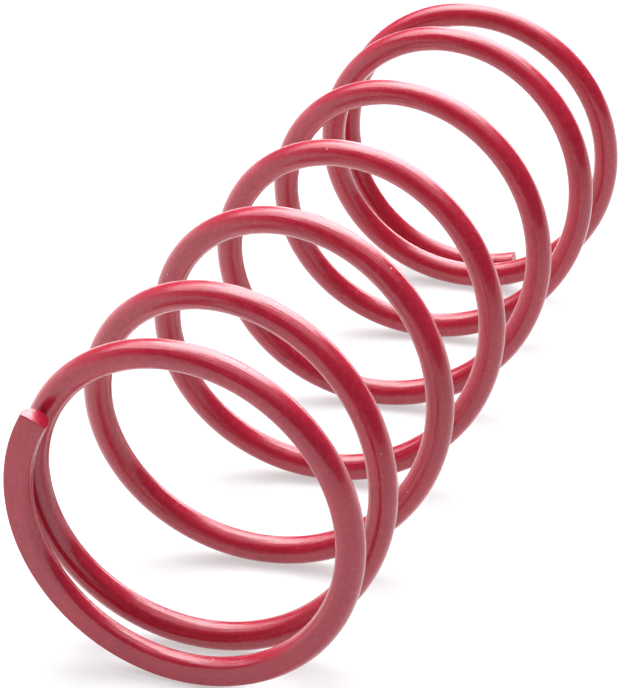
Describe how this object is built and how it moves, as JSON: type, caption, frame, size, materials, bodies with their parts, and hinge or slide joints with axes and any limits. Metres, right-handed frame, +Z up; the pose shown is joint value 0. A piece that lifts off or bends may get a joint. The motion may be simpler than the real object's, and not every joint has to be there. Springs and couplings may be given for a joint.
{
  "type": "coil spring",
  "caption": "Cylindrical left-hand compression spring of round wire with closed, ground ends and a painted finish.",
  "frame": {"origin": "on the surface that the spring lies on, under the middle of the axis of the coil", "axes": "+Y along the axis of the coil, from the front end to the rear end; +Z up, as the spring lies on its side"},
  "size_m": [0.0634, 0.166, 0.0635],
  "materials": {
    "paint": "gloss red paint over steel wire"
  },
  "bodies": {
    "front_end_coil": {"front_end_coil": "paint"},
    "rear_end_coil": {"rear_end_coil": "paint"},
    "active_coil_1_quarter_1": {"active_coil_1_quarter_1": "paint"},
    "active_coil_1_quarter_2": {"active_coil_1_quarter_2": "paint"},
    "active_coil_1_quarter_3": {"active_coil_1_quarter_3": "paint"},
    "active_coil_1_quarter_4": {"active_coil_1_quarter_4": "paint"},
    "active_coil_2_quarter_1": {"active_coil_2_quarter_1": "paint"},
    "active_coil_2_quarter_2": {"active_coil_2_quarter_2": "paint"},
    "active_coil_2_quarter_3": {"active_coil_2_quarter_3": "paint"},
    "active_coil_2_quarter_4": {"active_coil_2_quarter_4": "paint"},
    "active_coil_3_quarter_1": {"active_coil_3_quarter_1": "paint"},
    "active_coil_3_quarter_2": {"active_coil_3_quarter_2": "paint"},
    "active_coil_3_quarter_3": {"active_coil_3_quarter_3": "paint"},
    "active_coil_3_quarter_4": {"active_coil_3_quarter_4": "paint"},
    "active_coil_4_quarter_1": {"active_coil_4_quarter_1": "paint"},
    "active_coil_4_quarter_2": {"active_coil_4_quarter_2": "paint"},
    "active_coil_4_quarter_3": {"active_coil_4_quarter_3": "paint"},
    "active_coil_4_quarter_4": {"active_coil_4_quarter_4": "paint"},
    "active_coil_5_quarter_1": {"active_coil_5_quarter_1": "paint"},
    "active_coil_5_quarter_2": {"active_coil_5_quarter_2": "paint"},
    "active_coil_5_quarter_3": {"active_coil_5_quarter_3": "paint"},
    "active_coil_5_quarter_4": {"active_coil_5_quarter_4": "paint"}
  },
  "joints": [
    {"name": "compression", "type": "slide", "parent": "front_end_coil", "child": "rear_end_coil", "axis": [0, 1, 0], "range_m": [-0.112, 0], "stiffness_N_per_m": 5680},
    {"name": "active_coil_1_quarter_1_closing", "type": "slide", "parent": "front_end_coil", "child": "active_coil_1_quarter_1", "axis": [0, 1, 0], "range_m": [-0.0021, 0]},
    {"name": "active_coil_1_quarter_2_closing", "type": "slide", "parent": "front_end_coil", "child": "active_coil_1_quarter_2", "axis": [0, 1, 0], "range_m": [-0.0055, 0]},
    {"name": "active_coil_1_quarter_3_closing", "type": "slide", "parent": "front_end_coil", "child": "active_coil_1_quarter_3", "axis": [0, 1, 0], "range_m": [-0.0107, 0]},
    {"name": "active_coil_1_quarter_4_closing", "type": "slide", "parent": "front_end_coil", "child": "active_coil_1_quarter_4", "axis": [0, 1, 0], "range_m": [-0.0168, 0]},
    {"name": "active_coil_2_quarter_1_closing", "type": "slide", "parent": "front_end_coil", "child": "active_coil_2_quarter_1", "axis": [0, 1, 0], "range_m": [-0.0229, 0]},
    {"name": "active_coil_2_quarter_2_closing", "type": "slide", "parent": "front_end_coil", "child": "active_coil_2_quarter_2", "axis": [0, 1, 0], "range_m": [-0.029, 0]},
    {"name": "active_coil_2_quarter_3_closing", "type": "slide", "parent": "front_end_coil", "child": "active_coil_2_quarter_3", "axis": [0, 1, 0], "range_m": [-0.0351, 0]},
    {"name": "active_coil_2_quarter_4_closing", "type": "slide", "parent": "front_end_coil", "child": "active_coil_2_quarter_4", "axis": [0, 1, 0], "range_m": [-0.0412, 0]},
    {"name": "active_coil_3_quarter_1_closing", "type": "slide", "parent": "front_end_coil", "child": "active_coil_3_quarter_1", "axis": [0, 1, 0], "range_m": [-0.0473, 0]},
    {"name": "active_coil_3_quarter_2_closing", "type": "slide", "parent": "front_end_coil", "child": "active_coil_3_quarter_2", "axis": [0, 1, 0], "range_m": [-0.0534, 0]},
    {"name": "active_coil_3_quarter_3_closing", "type": "slide", "parent": "front_end_coil", "child": "active_coil_3_quarter_3", "axis": [0, 1, 0], "range_m": [-0.0596, 0]},
    {"name": "active_coil_3_quarter_4_closing", "type": "slide", "parent": "front_end_coil", "child": "active_coil_3_quarter_4", "axis": [0, 1, 0], "range_m": [-0.0657, 0]},
    {"name": "active_coil_4_quarter_1_closing", "type": "slide", "parent": "front_end_coil", "child": "active_coil_4_quarter_1", "axis": [0, 1, 0], "range_m": [-0.0718, 0]},
    {"name": "active_coil_4_quarter_2_closing", "type": "slide", "parent": "front_end_coil", "child": "active_coil_4_quarter_2", "axis": [0, 1, 0], "range_m": [-0.0779, 0]},
    {"name": "active_coil_4_quarter_3_closing", "type": "slide", "parent": "front_end_coil", "child": "active_coil_4_quarter_3", "axis": [0, 1, 0], "range_m": [-0.084, 0]},
    {"name": "active_coil_4_quarter_4_closing", "type": "slide", "parent": "front_end_coil", "child": "active_coil_4_quarter_4", "axis": [0, 1, 0], "range_m": [-0.0901, 0]},
    {"name": "active_coil_5_quarter_1_closing", "type": "slide", "parent": "front_end_coil", "child": "active_coil_5_quarter_1", "axis": [0, 1, 0], "range_m": [-0.0962, 0]},
    {"name": "active_coil_5_quarter_2_closing", "type": "slide", "parent": "front_end_coil", "child": "active_coil_5_quarter_2", "axis": [0, 1, 0], "range_m": [-0.1023, 0]},
    {"name": "active_coil_5_quarter_3_closing", "type": "slide", "parent": "front_end_coil", "child": "active_coil_5_quarter_3", "axis": [0, 1, 0], "range_m": [-0.1075, 0]},
    {"name": "active_coil_5_quarter_4_closing", "type": "slide", "parent": "front_end_coil", "child": "active_coil_5_quarter_4", "axis": [0, 1, 0], "range_m": [-0.1109, 0]}
  ],
  "couplings": [
    {"joint": "active_coil_1_quarter_1_closing", "follows": "compression", "ratio": 0.0145},
    {"joint": "active_coil_1_quarter_2_closing", "follows": "compression", "ratio": 0.0449},
    {"joint": "active_coil_1_quarter_3_closing", "follows": "compression", "ratio": 0.0915},
    {"joint": "active_coil_1_quarter_4_closing", "follows": "compression", "ratio": 0.1457},
    {"joint": "active_coil_2_quarter_1_closing", "follows": "compression", "ratio": 0.2002},
    {"joint": "active_coil_2_quarter_2_closing", "follows": "compression", "ratio": 0.2547},
    {"joint": "active_coil_2_quarter_3_closing", "follows": "compression", "ratio": 0.3092},
    {"joint": "active_coil_2_quarter_4_closing", "follows": "compression", "ratio": 0.3637},
    {"joint": "active_coil_3_quarter_1_closing", "follows": "compression", "ratio": 0.4182},
    {"joint": "active_coil_3_quarter_2_closing", "follows": "compression", "ratio": 0.4727},
    {"joint": "active_coil_3_quarter_3_closing", "follows": "compression", "ratio": 0.5273},
    {"joint": "active_coil_3_quarter_4_closing", "follows": "compression", "ratio": 0.5818},
    {"joint": "active_coil_4_quarter_1_closing", "follows": "compression", "ratio": 0.6363},
    {"joint": "active_coil_4_quarter_2_closing", "follows": "compression", "ratio": 0.6908},
    {"joint": "active_coil_4_quarter_3_closing", "follows": "compression", "ratio": 0.7453},
    {"joint": "active_coil_4_quarter_4_closing", "follows": "compression", "ratio": 0.7998},
    {"joint": "active_coil_5_quarter_1_closing", "follows": "compression", "ratio": 0.8543},
    {"joint": "active_coil_5_quarter_2_closing", "follows": "compression", "ratio": 0.9085},
    {"joint": "active_coil_5_quarter_3_closing", "follows": "compression", "ratio": 0.9551},
    {"joint": "active_coil_5_quarter_4_closing", "follows": "compression", "ratio": 0.9855}
  ]
}
